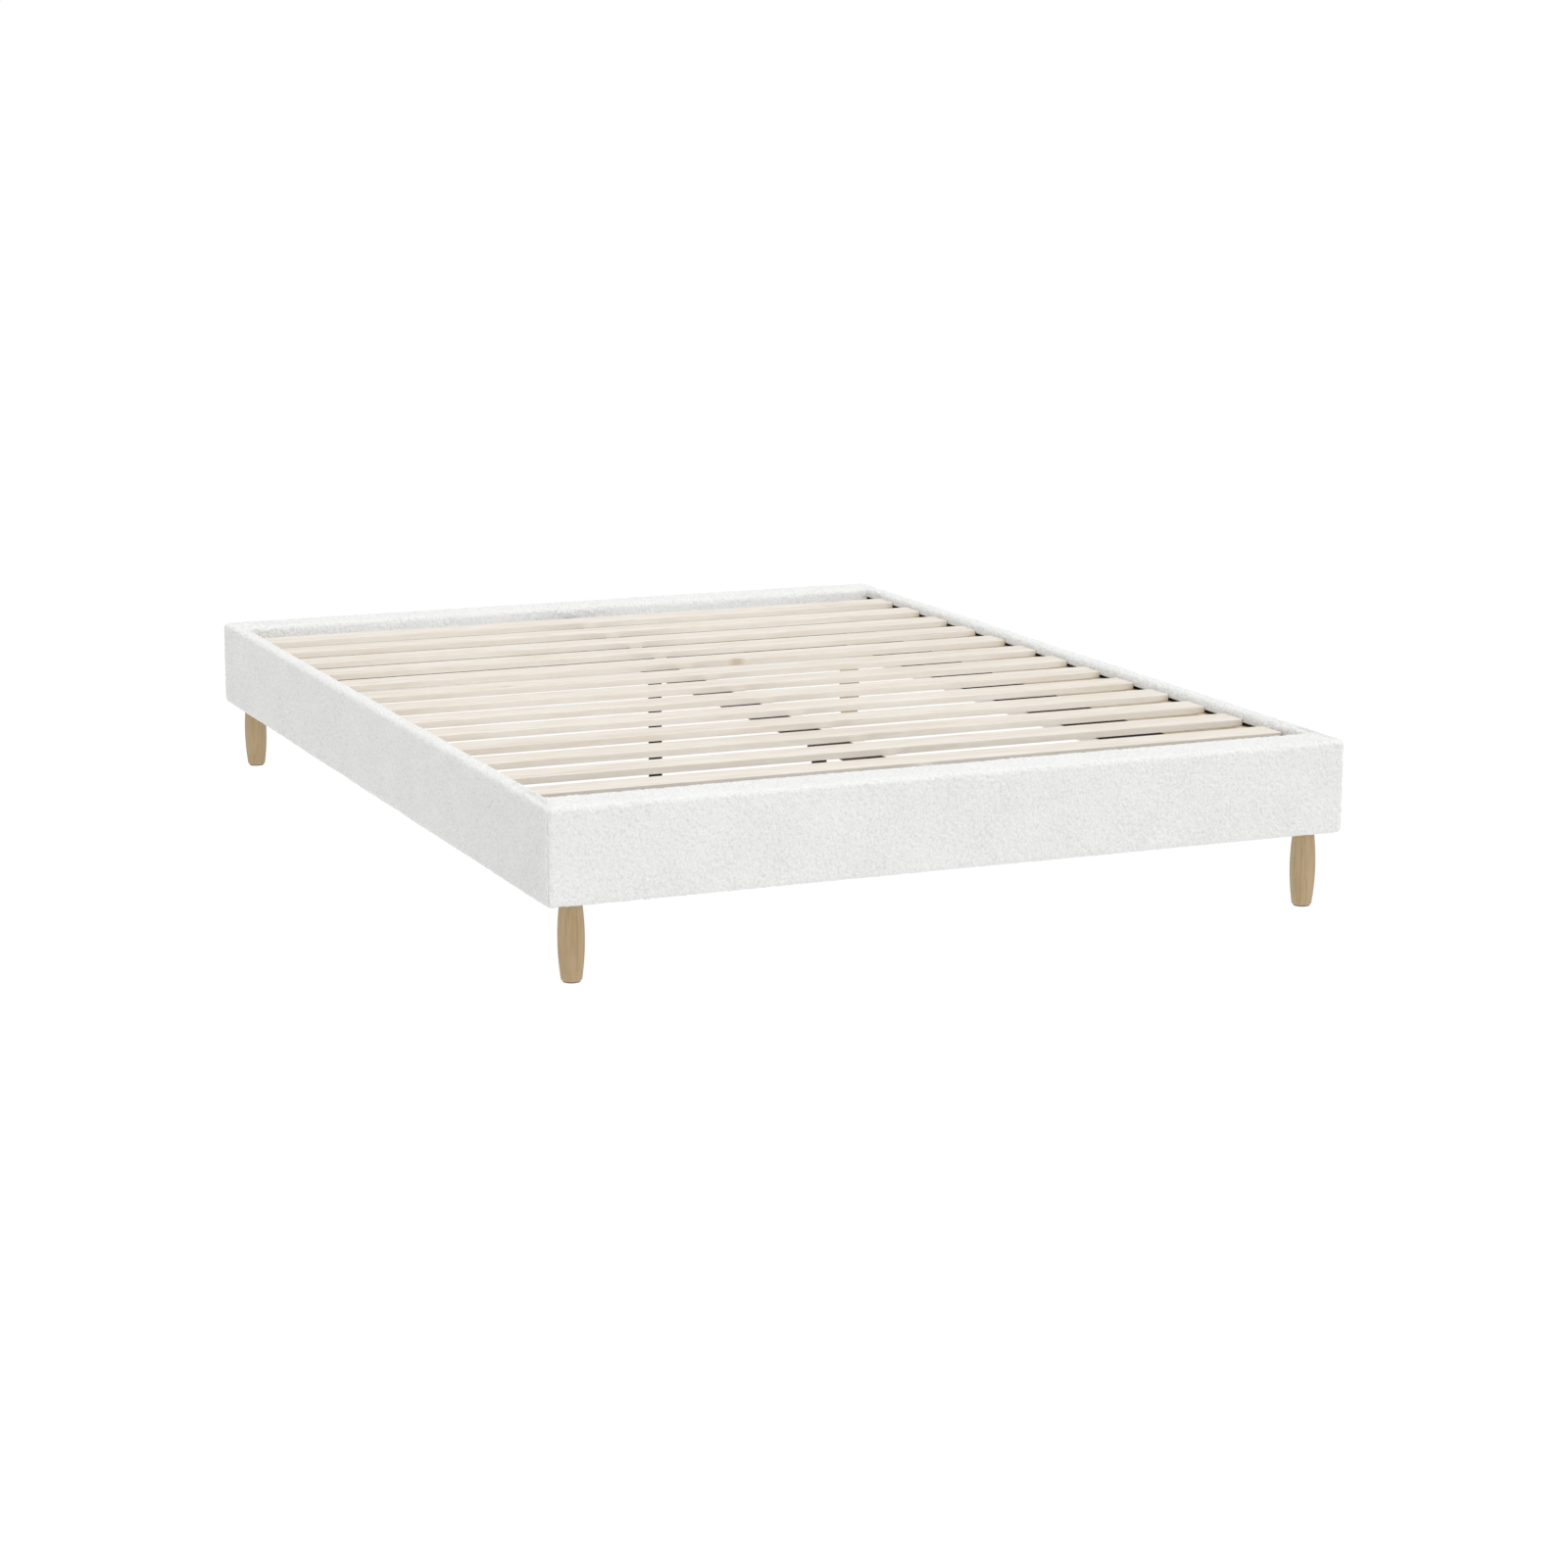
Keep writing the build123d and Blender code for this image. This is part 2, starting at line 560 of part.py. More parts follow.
HANGER_REACH = 45
HANGER_CHEEK = 30
HANGER_EAR_WIDTH = 78
HANGER_EAR_HEIGHT = 36
HANGER_EDGE_RADIUS = 0.6
for end, end_name in ((1, "head"), (-1, "foot")):
    cradle_y = end * (HANGER_Y - HANGER_REACH / 2)
    ear_y = end * (HANGER_Y + HANGER_PLATE / 2)
    with BuildPart() as hanger:
        with BuildSketch(Plane.XY.offset(BEAM_BOTTOM - HANGER_PLATE)):
            with Locations((0, cradle_y)):
                Rectangle(BEAM_WIDTH + 2 * HANGER_PLATE, HANGER_REACH)
        extrude(amount=HANGER_PLATE + HANGER_CHEEK)
        with BuildSketch(Plane.XY.offset(BEAM_BOTTOM)):
            with Locations((0, cradle_y)):
                Rectangle(BEAM_WIDTH, HANGER_REACH)
        extrude(amount=HANGER_CHEEK, mode=Mode.SUBTRACT)
        with BuildSketch(Plane.XY.offset(BEAM_BOTTOM - HANGER_PLATE)):
            with Locations((0, ear_y)):
                Rectangle(HANGER_EAR_WIDTH, HANGER_PLATE)
        extrude(amount=HANGER_EAR_HEIGHT)
        fillet(hanger.edges().filter_by(Axis.Y).group_by(SortBy.LENGTH)[0], HANGER_EDGE_RADIUS)
        for hole in hanger_screw_holes:
            add(hole, mode=Mode.SUBTRACT)
    save(hanger, f"beam_hanger_{end_name}")

# ---------------------------------------------------------------- centre legs and levelling feet
LEG_TUBE_BOTTOM = LEVELLER_HEIGHT + CENTRE_LEG_FOOT_GAP
FLANGE_BOTTOM = BEAM_BOTTOM - CENTRE_LEG_FLANGE
STEM_BORE_DEPTH = STEM_LENGTH + 3
WEB = 4
HOLLOW_BOTTOM = LEG_TUBE_BOTTOM + STEM_BORE_DEPTH + WEB
FLANGE_CORNER_RADIUS = 6
for end, end_name in ((1, "head"), (-1, "foot")):
    with BuildPart() as centre_leg:
        with BuildSketch(Plane.XY.offset(LEG_TUBE_BOTTOM)):
            with Locations((0, end * CENTRE_LEG_Y)):
                Circle(CENTRE_LEG_RADIUS)
        extrude(amount=FLANGE_BOTTOM - LEG_TUBE_BOTTOM)
        with BuildSketch(Plane.XY.offset(FLANGE_BOTTOM)):
            with Locations((0, end * CENTRE_LEG_Y)):
                flange_length = 2 * (FLANGE_SCREW_OFFSET + SCREW_HEAD_RADIUS + CENTRE_LEG_FLANGE)
                RectangleRounded(BEAM_WIDTH, flange_length, FLANGE_CORNER_RADIUS)
        extrude(amount=CENTRE_LEG_FLANGE)
        with BuildSketch(Plane.XY.offset(LEG_TUBE_BOTTOM)):
            with Locations((0, end * CENTRE_LEG_Y)):
                Circle(STEM_RADIUS + STEM_PLAY)
        extrude(amount=STEM_BORE_DEPTH, mode=Mode.SUBTRACT)
        with BuildSketch(Plane.XY.offset(HOLLOW_BOTTOM)):
            with Locations((0, end * CENTRE_LEG_Y)):
                Circle(CENTRE_LEG_RADIUS - CENTRE_LEG_WALL)
        extrude(amount=FLANGE_BOTTOM - WEB - HOLLOW_BOTTOM, mode=Mode.SUBTRACT)
        for hole in flange_screw_holes:
            add(hole, mode=Mode.SUBTRACT)
    save(centre_leg, f"centre_leg_{end_name}")

    with BuildPart() as levelling_foot:
        with BuildSketch(Plane.XZ):
            with BuildLine():
                Polyline(
                    (0, LEVELLER_HEIGHT + STEM_LENGTH),
                    (0, 0),
                    (LEVELLER_RADIUS - 1, 0),
                    (LEVELLER_RADIUS, 1),
                    (LEVELLER_RADIUS, 7),
                    (LEVELLER_RADIUS - 2.5, 10),
                    (LEVELLER_NUT_RADIUS, 10),
                    (LEVELLER_NUT_RADIUS, LEVELLER_HEIGHT),
                    (STEM_RADIUS, LEVELLER_HEIGHT),
                    (STEM_RADIUS, LEVELLER_HEIGHT + STEM_LENGTH - 1),
                    (STEM_RADIUS - 1, LEVELLER_HEIGHT + STEM_LENGTH),
                    close=True,
                )
            make_face()
        revolve(axis=Axis.Z)
    levelling_foot.part.position = (0, end * CENTRE_LEG_Y, 0)
    save(levelling_foot, f"levelling_foot_{end_name}")

# ---------------------------------------------------------------- corner legs
LEG_TOP_RADIUS = 20
LEG_BELLY_RADIUS = 24.5
LEG_TOE_RADIUS = 19
LEG_BELLY_Z = 78
LEG_TOE_CUT = 2
GLIDE_HEIGHT = 2.5
GLIDE_RADIUS = 16

for sx, sy in corner_signs:
    corner_name = ("foot" if sy < 0 else "head") + ("_left" if sx < 0 else "_right")
    with BuildPart() as leg:
        with BuildSketch(Plane.XZ):
            with BuildLine():
                sole = Line((0, GLIDE_HEIGHT), (LEG_TOE_RADIUS - LEG_TOE_CUT, GLIDE_HEIGHT))
                toe = Line(sole @ 1, (LEG_TOE_RADIUS, GLIDE_HEIGHT + LEG_TOE_CUT))
                widest = (LEG_BELLY_RADIUS, LEG_BELLY_Z)
                belly = ThreePointArc(toe @ 1, widest, (LEG_TOP_RADIUS, LEG_HEIGHT))
                Polyline(belly @ 1, (0, LEG_HEIGHT), (0, GLIDE_HEIGHT))
            make_face()
        revolve(axis=Axis.Z)
        top_face = Plane.XY.offset(LEG_HEIGHT)
        bolt_hole = cylinder_along(top_face, LEG_BOLT_RADIUS + FIT, -LEG_BOLT_IN_LEG - 2, FIT)
        add(bolt_hole, mode=Mode.SUBTRACT)
    leg.part.position = (sx * LEG_X, sy * LEG_Y, 0)
    save(leg, f"leg_{corner_name}")

with BuildPart() as leg_bolts:
    for bolt_plane in leg_bolt_planes:
        add(cylinder_along(bolt_plane, LEG_BOLT_RADIUS, -LEG_BOLT_IN_LEG, LEG_BOLT_ABOVE))
save(leg_bolts, "leg_bolts")

with BuildPart() as tee_nuts:
    for bolt_plane in leg_bolt_planes:
        flange_top = TEE_NUT_SEAT + TEE_NUT_FLANGE
        add(cylinder_along(bolt_plane, TEE_NUT_FLANGE_RADIUS, TEE_NUT_SEAT, flange_top))
        add(cylinder_along(bolt_plane, TEE_NUT_BARREL_RADIUS, TEE_NUT_SEAT - TEE_NUT_BARREL, TEE_NUT_SEAT))
        add(cylinder_along(bolt_plane, LEG_BOLT_RADIUS + FIT / 2, 0, LEG_BOLT_ABOVE), mode=Mode.SUBTRACT)
save(tee_nuts, "tee_nuts")

with BuildPart() as leg_glides:
    for sx, sy in corner_signs:
        with BuildSketch():
            with Locations((sx * LEG_X, sy * LEG_Y)):
                Circle(GLIDE_RADIUS)
        extrude(amount=GLIDE_HEIGHT)
save(leg_glides, "leg_glides")
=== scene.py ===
"""Looks of an upholstered platform bed base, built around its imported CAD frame. Metres."""

import itertools
import json
import math

import bmesh
import bpy
import numpy as np
from mathutils import Euler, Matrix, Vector


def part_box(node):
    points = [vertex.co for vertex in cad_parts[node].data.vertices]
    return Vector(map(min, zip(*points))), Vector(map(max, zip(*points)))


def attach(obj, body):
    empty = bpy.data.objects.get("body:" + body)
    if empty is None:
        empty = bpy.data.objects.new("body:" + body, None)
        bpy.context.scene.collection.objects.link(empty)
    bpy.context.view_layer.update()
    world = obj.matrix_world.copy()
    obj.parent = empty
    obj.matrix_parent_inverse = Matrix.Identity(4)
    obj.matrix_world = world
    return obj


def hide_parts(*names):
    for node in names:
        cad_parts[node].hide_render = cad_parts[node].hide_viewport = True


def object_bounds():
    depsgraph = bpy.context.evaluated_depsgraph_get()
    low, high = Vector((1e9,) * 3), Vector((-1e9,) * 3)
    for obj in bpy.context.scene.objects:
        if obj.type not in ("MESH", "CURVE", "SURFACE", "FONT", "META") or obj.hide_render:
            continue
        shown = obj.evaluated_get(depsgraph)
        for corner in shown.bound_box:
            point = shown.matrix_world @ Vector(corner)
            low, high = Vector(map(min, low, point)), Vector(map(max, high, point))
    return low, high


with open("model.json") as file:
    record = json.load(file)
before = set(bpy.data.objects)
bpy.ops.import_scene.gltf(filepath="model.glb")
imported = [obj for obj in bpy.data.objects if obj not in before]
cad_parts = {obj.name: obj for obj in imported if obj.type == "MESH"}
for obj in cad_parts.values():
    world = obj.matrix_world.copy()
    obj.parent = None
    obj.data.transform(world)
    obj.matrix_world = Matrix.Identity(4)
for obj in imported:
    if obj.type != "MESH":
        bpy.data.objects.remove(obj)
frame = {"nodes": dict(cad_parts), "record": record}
cad_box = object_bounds()

# ---------------------------------------------------------------- sizes read from the frame
# How far the end covers reach below the slats inside, and how far each cover's lower edge turns up.
END_LIP_DROP = 0.005
LOWER_LIP_HEIGHT = 0.020

HALF_W = cad_box[1].x
HALF_L = cad_box[1].y
RAIL_TOP = cad_box[1].z
RAIL_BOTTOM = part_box("head_cover")[0].z
RECESS_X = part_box("side_right_cover")[0].x
RECESS_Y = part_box("head_cover")[0].y
SIDE_LIP_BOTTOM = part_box("side_right_lining")[1].z
END_LIP_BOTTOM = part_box("slat_01")[0].z - END_LIP_DROP
LOWER_LIP_TOP = RAIL_BOTTOM + LOWER_LIP_HEIGHT

# ---------------------------------------------------------------- sizes of the covers
SPACING = 0.0027

# Corner radii in plan, then edge radii across a rail.
HEAD_CORNER = 0.022
FOOT_CORNER = 0.0125
RECESS_CORNER = 0.004
TOP_EDGE = 0.0105
BOTTOM_EDGE = 0.009
RIM_EDGE = 0.012
LIP_EDGE = 0.0035
ARC_PER_RADIUS = 1.6

# From the cover's surface to its back: cloth alone, cloth and foam outside, cloth and foam inside.
FABRIC = 0.0025
BACK_OUTER = 0.0074
BACK_INNER = 0.0044
BOARD_GAP = 0.0001

# A seam's rolled edge, and the extra stations that round it.
SEAM_ROLL = 0.0016
SEAM_STEPS = np.array([0.0002, 0.0006, 0.0012])

# The stretch by each corner where the outer and inner outlines run at different rates.
EASE = 0.20

# The pile: lumps, finer curls, patches that are deeper or flatter, and a slow swell of the padding.
NUB_SIZE = 0.0068
NUB_HEIGHT = 0.0025
CURL_SIZE = 0.0052
CURL_HEIGHT = 0.0010
NUB_STEEPNESS = 1.4
PATCH_SIZE = 0.045
PATCH_MIDDLE = 0.8
PATCH_SPREAD = 0.35
SWELL_SIZE = 0.19
SWELL_HEIGHT = 0.0008

# The share of the pile that shows at a hem's first two rows, and under a rail.
HEM_PILE = (0.2, 0.7)
UNDERSIDE_PILE = 0.3


# ---------------------------------------------------------------- repeatable noise
def cell_value(cells, salt):
    """A repeatable value from 0 to 1 for each whole-numbered cell."""
    mask = 0xFFFFFFFF
    mixed = cells @ np.array([374761393, 668265263, 1442695041]) + salt * 2246822519
    mixed = mixed & mask
    mixed = ((mixed ^ (mixed >> 13)) * 1274126177) & mask
    return (mixed ^ (mixed >> 16)) / mask


def nubs(points, size):
    """Rounded lumps about one size apart: 1 at the middle of a lump, 0 between lumps."""
    scaled = points / size
    base = np.floor(scaled).astype(np.int64)
    nearest = np.full(len(points), 9.0)
    for offset in itertools.product((-1, 0, 1), repeat=3):
        cells = base + np.array(offset)
        seeds = cells + np.stack([cell_value(cells, salt) for salt in range(3)], axis=1)
        nearest = np.minimum(nearest, ((scaled - seeds) ** 2).sum(axis=1))
    return np.clip(1 - NUB_STEEPNESS * nearest, 0, 1)


def swell(points, size):
    """Slow, smooth rise and fall between -1 and 1."""
    scaled = points / size
    base = np.floor(scaled).astype(np.int64)
    part = scaled - base
    part = part * part * (3 - 2 * part)
    total = np.zeros(len(points))
    for offset in itertools.product((0, 1), repeat=3):
        weight = np.prod(np.where(np.array(offset) == 1, part, 1 - part), axis=1)
        total += weight * cell_value(base + np.array(offset), 7)
    return 2 * total - 1


def boucle_height(points):
    """How far the looped pile stands out at each point of a cover."""
    patchy = PATCH_MIDDLE + PATCH_SPREAD * swell(points, PATCH_SIZE)
    pile = NUB_HEIGHT * (nubs(points, NUB_SIZE) - 0.5)
    pile += CURL_HEIGHT * (nubs(points, CURL_SIZE) - 0.5)
    return pile * patchy + SWELL_HEIGHT * swell(points, SWELL_SIZE)


# ---------------------------------------------------------------- covers
def line(start, end, normal_deg):
    """A straight stretch of a plan outline, as a function of the fraction along it."""
    normal = np.array([math.cos(math.radians(normal_deg)), math.sin(math.radians(normal_deg))])

    def at(fraction):
        points = np.outer(1 - fraction, start) + np.outer(fraction, end)
        return points, np.tile(normal, (len(fraction), 1))

    return at, math.dist(start, end)


def arc(centre, radius, start_deg, end_deg, outward=1):
    """A round stretch of a plan outline. outward is -1 where the rail lies outside the arc."""

    def at(fraction):
        turn = np.radians(start_deg + (end_deg - start_deg) * fraction)
        spoke = np.stack([np.cos(turn), np.sin(turn)], axis=1)
        return np.array(centre) + radius * spoke, outward * spoke

    return at, radius * math.radians(abs(end_deg - start_deg))


def stations(legs):
    """Outer and inner plan points with their normals, and the distance along the outer outline."""
    parts = []
    travelled = 0.0
    for number, ((outer, length), (inner, _)) in enumerate(legs):
        count = max(3, round(length / SPACING))
        fraction = np.linspace(0, 1, count + 1)
        if number == 0:
            fraction = np.union1d(fraction, SEAM_STEPS / length)
        if number < len(legs) - 1:
            fraction = fraction[:-1]
        else:
            fraction = np.union1d(fraction, 1 - SEAM_STEPS / length)
        parts.append((*outer(fraction), *inner(fraction), travelled + fraction * length))
        travelled += length
    return [np.concatenate(column) for column in zip(*parts)], travelled


def outline_rows(depth, lip_bottom):
    """The cover's cross-section as rows of (share towards the outside, inner inset, outer inset,
    height): from the upper lip over the top, down the outside and under to the lower lip."""

    def steps(length, coarseness=1.0):
        return np.linspace(0, 1, max(2, round(length / (SPACING * coarseness))) + 1)[1:]

    rows = [(0, 0, 0, lip_bottom)]
    rim_start = RAIL_TOP - RIM_EDGE
    for t in steps(rim_start - lip_bottom):
        rows.append((0, 0, 0, lip_bottom + t * (rim_start - lip_bottom)))
    for t in steps(RIM_EDGE * ARC_PER_RADIUS):
        turn = t * math.pi / 2
        rows.append((0, RIM_EDGE * (1 - math.cos(turn)), 0, rim_start + RIM_EDGE * math.sin(turn)))
    for t in steps(depth - RIM_EDGE - TOP_EDGE, 0.8 if depth < 0.05 else 1):
        rows.append((t, RIM_EDGE, TOP_EDGE, RAIL_TOP))
    edge_start = RAIL_TOP - TOP_EDGE
    for t in steps(TOP_EDGE * ARC_PER_RADIUS):
        turn = t * math.pi / 2
        rows.append((1, 0, TOP_EDGE * (1 - math.sin(turn)), edge_start + TOP_EDGE * math.cos(turn)))
    wall_end = RAIL_BOTTOM + BOTTOM_EDGE
    for t in steps(edge_start - wall_end):
        rows.append((1, 0, 0, edge_start - t * (edge_start - wall_end)))
    for t in steps(BOTTOM_EDGE * ARC_PER_RADIUS):
        turn = t * math.pi / 2
        rows.append((1, 0, BOTTOM_EDGE * (1 - math.cos(turn)), wall_end - BOTTOM_EDGE * math.sin(turn)))
    for t in steps(depth - BOTTOM_EDGE - LIP_EDGE, 2.5):
        rows.append((1 - t, LIP_EDGE, BOTTOM_EDGE, RAIL_BOTTOM))
    for t in steps(LIP_EDGE * ARC_PER_RADIUS):
        turn = t * math.pi / 2
        rows.append((0, LIP_EDGE * (1 - math.sin(turn)), 0, RAIL_BOTTOM + LIP_EDGE * (1 - math.cos(turn))))
    for t in steps(LOWER_LIP_TOP - RAIL_BOTTOM - LIP_EDGE, 1.6):
        rows.append((0, 0, 0, RAIL_BOTTOM + LIP_EDGE + t * (LOWER_LIP_TOP - RAIL_BOTTOM - LIP_EDGE)))
    return np.array(rows)


def back_rows(lip_bottom):
    """The side that lies against the boards, from the lower lip back round to the upper lip."""
    board_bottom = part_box("head_bottom_board")[0].z
    board_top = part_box("head_top_board")[1].z
    return np.array(
        [
            (0, FABRIC, 0, LOWER_LIP_TOP),
            (0, FABRIC, 0, board_bottom - BOARD_GAP),
            (1, 0, BACK_OUTER, board_bottom - BOARD_GAP),
            (1, 0, BACK_OUTER, board_top + BOARD_GAP),
            (0, BACK_INNER, 0, board_top + BOARD_GAP),
            (0, BACK_INNER, 0, SIDE_LIP_BOTTOM),
            (0, FABRIC, 0, SIDE_LIP_BOTTOM),
            (0, FABRIC, 0, lip_bottom),
        ]
    )


def grid_points(rows, plan):
    """Every row of a cross-section at every station, as an array of stations x rows x 3."""
    outer, outer_normal, inner, inner_normal, _ = plan
    share, inner_inset, outer_inset, height = (column[None, :, None] for column in rows.T)
    inside = inner[:, None] - inner_inset * inner_normal[:, None]
    outside = outer[:, None] - outer_inset * outer_normal[:, None]
    flat = (1 - share) * inside + share * outside
    tall = np.broadcast_to(height, flat.shape[:2] + (1,))
    return np.concatenate([flat, tall], axis=2)


def grid_normals(grid):
    """Outward unit normals of a grid of points."""
    along = np.gradient(grid, axis=0)
    across = np.gradient(grid, axis=1)
    normal = np.cross(along, across)
    return normal / np.maximum(np.linalg.norm(normal, axis=2, keepdims=True), 1e-12)


def grid_faces(count_a, count_b):
    """Quads between neighbouring points of a grid."""
    index = np.arange(count_a * count_b).reshape(count_a, count_b)
    quads = np.stack([index[:-1, :-1], index[:-1, 1:], index[1:, 1:], index[1:, :-1]], axis=2)
    return quads.reshape(-1, 4)


def build_cover(name, legs, depth, lip_bottom, mirrored=False):
    """One rail's cover and padding as a closed shell round its boards, with the pile in its shape."""
    plan, travelled = stations(legs)
    rows = outline_rows(depth, lip_bottom)
    front = grid_points(rows, plan)
    back = grid_points(back_rows(lip_bottom), plan)
    if mirrored:
        front[:, :, 0] *= -1
        back[:, :, 0] *= -1
    normal = grid_normals(front)
    middle = front[len(front) // 2, len(rows) // 2]
    outward = 1 if np.dot(normal[len(front) // 2, len(rows) // 2, :2], middle[:2]) > 0 else -1
    normal *= outward

    distance = plan[4]
    to_seam = np.minimum(distance, travelled - distance)
    bend = np.clip(SEAM_ROLL - to_seam, 0, None)
    roll = SEAM_ROLL - np.sqrt(SEAM_ROLL**2 - bend**2)
    fade = np.clip(to_seam / SEAM_ROLL, 0, 1)[:, None]
    hem = np.ones(len(rows))
    hem[:2] = HEM_PILE
    hem[-2:] = HEM_PILE[::-1]
    underside = np.where(rows[:, 3] <= RAIL_BOTTOM + 1e-6, UNDERSIDE_PILE, 1.0)
    height = boucle_height(front.reshape(-1, 3)).reshape(front.shape[:2])
    height = height * fade * hem * underside - roll[:, None]
    front = front + normal * height[:, :, None]

    points = np.concatenate([front, back], axis=1)
    count, row = points.shape[:2]
    faces = grid_faces(count, row).tolist()
    ring = (np.arange(count) * row).tolist()
    faces += [(a + row - 1, a, b, b + row - 1) for a, b in zip(ring, ring[1:])]
    faces.append(list(range(row)))
    faces.append(list(range((count - 1) * row, count * row)))

    mesh = bpy.data.meshes.new(name)
    mesh.from_pydata(points.reshape(-1, 3).tolist(), [], faces)
    tidy = bmesh.new()
    tidy.from_mesh(mesh)
    bmesh.ops.recalc_face_normals(tidy, faces=tidy.faces)
    for face in tidy.faces:
        face.smooth = len(face.verts) == 4
    tidy.to_mesh(mesh)
    tidy.free()
    cover = bpy.data.objects.new(name, mesh)
    bpy.context.scene.collection.objects.link(cover)
    return cover


def cover_legs():
    """Outer and inner plan outlines of the head, foot and right covers, cut into matching legs."""
    foot = (HALF_W - FOOT_CORNER, -HALF_L + FOOT_CORNER)
    head = (HALF_W - HEAD_CORNER, HALF_L - HEAD_CORNER)
    rim_x = RECESS_X - RECESS_CORNER
    rim_y = RECESS_Y - RECESS_CORNER
    ease_x = RECESS_X - EASE
    ease_y = RECESS_Y - EASE
    foot_legs = [
        (
            arc((-foot[0], foot[1]), FOOT_CORNER, 225, 270),
            arc((-rim_x, -rim_y), RECESS_CORNER, 225, 270, -1),
        ),
        (
            line((-foot[0], -HALF_L), (-ease_x, -HALF_L), 270),
            line((-rim_x, -RECESS_Y), (-ease_x, -RECESS_Y), 90),
        ),
        (
            line((-ease_x, -HALF_L), (ease_x, -HALF_L), 270),
            line((-ease_x, -RECESS_Y), (ease_x, -RECESS_Y), 90),
        ),
        (
            line((ease_x, -HALF_L), (foot[0], -HALF_L), 270),
            line((ease_x, -RECESS_Y), (rim_x, -RECESS_Y), 90),
        ),
        (
            arc(foot, FOOT_CORNER, 270, 315),
            arc((rim_x, -rim_y), RECESS_CORNER, 270, 315, -1),
        ),
    ]
    side_legs = [
        (
            arc(foot, FOOT_CORNER, 315, 360),
            arc((rim_x, -rim_y), RECESS_CORNER, 315, 360, -1),
        ),
        (
            line((HALF_W, foot[1]), (HALF_W, -ease_y), 0),
            line((RECESS_X, -rim_y), (RECESS_X, -ease_y), 180),
        ),
        (
            line((HALF_W, -ease_y), (HALF_W, rim_y), 0),
            line((RECESS_X, -ease_y), (RECESS_X, rim_y), 180),
        ),
        (
            line((HALF_W, rim_y), (HALF_W, RECESS_Y), 0),
            arc((rim_x, rim_y), RECESS_CORNER, 0, 45, -1),
        ),
    ]
    half_head = [
        (
            line((HALF_W, RECESS_Y), (HALF_W, RECESS_Y + RECESS_CORNER), 0),
            arc((rim_x, rim_y), RECESS_CORNER, 45, 90, -1),
        ),
        (
            line((HALF_W, RECESS_Y + RECESS_CORNER), (HALF_W, head[1]), 0),
            line((rim_x, RECESS_Y), (rim_x - EASE / 3, RECESS_Y), 270),
        ),
        (
            arc(head, HEAD_CORNER, 0, 90),
            line((rim_x - EASE / 3, RECESS_Y), (rim_x - EASE / 2, RECESS_Y), 270),
        ),
        (
            line((head[0], HALF_L), (ease_x, HALF_L), 90),
            line((rim_x - EASE / 2, RECESS_Y), (ease_x, RECESS_Y), 270),
        ),
    ]
    middle = (
        line((ease_x, HALF_L), (-ease_x, HALF_L), 90),
        line((ease_x, RECESS_Y), (-ease_x, RECESS_Y), 270),
    )
    head_legs = half_head + [middle] + [mirror_leg(leg) for leg in reversed(half_head)]
    return head_legs, foot_legs, side_legs


def mirror_leg(leg):
    """The same leg on the other side of the bed, run through backwards."""

    def mirror(curve):
        at, length = curve

        def flipped(fraction):
            points, normals = at(1 - fraction)
            return points * (-1, 1), normals * (-1, 1)

        return flipped, length

    return tuple(mirror(curve) for curve in leg)


END_DEPTH = HALF_L - RECESS_Y
SIDE_DEPTH = HALF_W - RECESS_X
head_legs, foot_legs, side_legs = cover_legs()
covers = {
    "head": build_cover("head_boucle", head_legs, END_DEPTH, END_LIP_BOTTOM),
    "foot": build_cover("foot_boucle", foot_legs, END_DEPTH, END_LIP_BOTTOM),
    "side_right": build_cover("side_right_boucle", side_legs, SIDE_DEPTH, SIDE_LIP_BOTTOM),
    "side_left": build_cover("side_left_boucle", side_legs, SIDE_DEPTH, SIDE_LIP_BOTTOM, mirrored=True),
}
for rail, cover in covers.items():
    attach(cover, "base")
    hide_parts(f"{rail}_cover", f"{rail}_foam")


# ---------------------------------------------------------------- materials
# The pile's tones run from the loop tops to the painted shade in the gaps between loops.
FABRIC_HIGH = (0.90, 0.90, 0.89)
FABRIC_MIDDLE = (0.87, 0.87, 0.86)
FABRIC_PAINTED_CREVICE_SHADE = (0.76, 0.76, 0.75)
PINE_LIGHT = (0.775, 0.735, 0.680)
PINE_DARK = (0.700, 0.645, 0.570)
PINE_LINE = (0.88, 0.82, 0.73)
# Painted light: the paler colour put on the slats' faces along Y, and how much of it is mixed in.
SLAT_EDGE_PAINTED_LIGHT = (0.97, 0.90, 0.80)
SLAT_EDGE_PAINTED_LIGHT_SHARE = 0.36
KNOT = (0.74, 0.64, 0.55)
KNOT_SPREAD = (3.1, 8.6, 0.4)
LEG_LIGHT = (0.478, 0.368, 0.228)
LEG_DARK = (0.410, 0.302, 0.178)
LEG_LINE = (0.84, 0.74, 0.60)


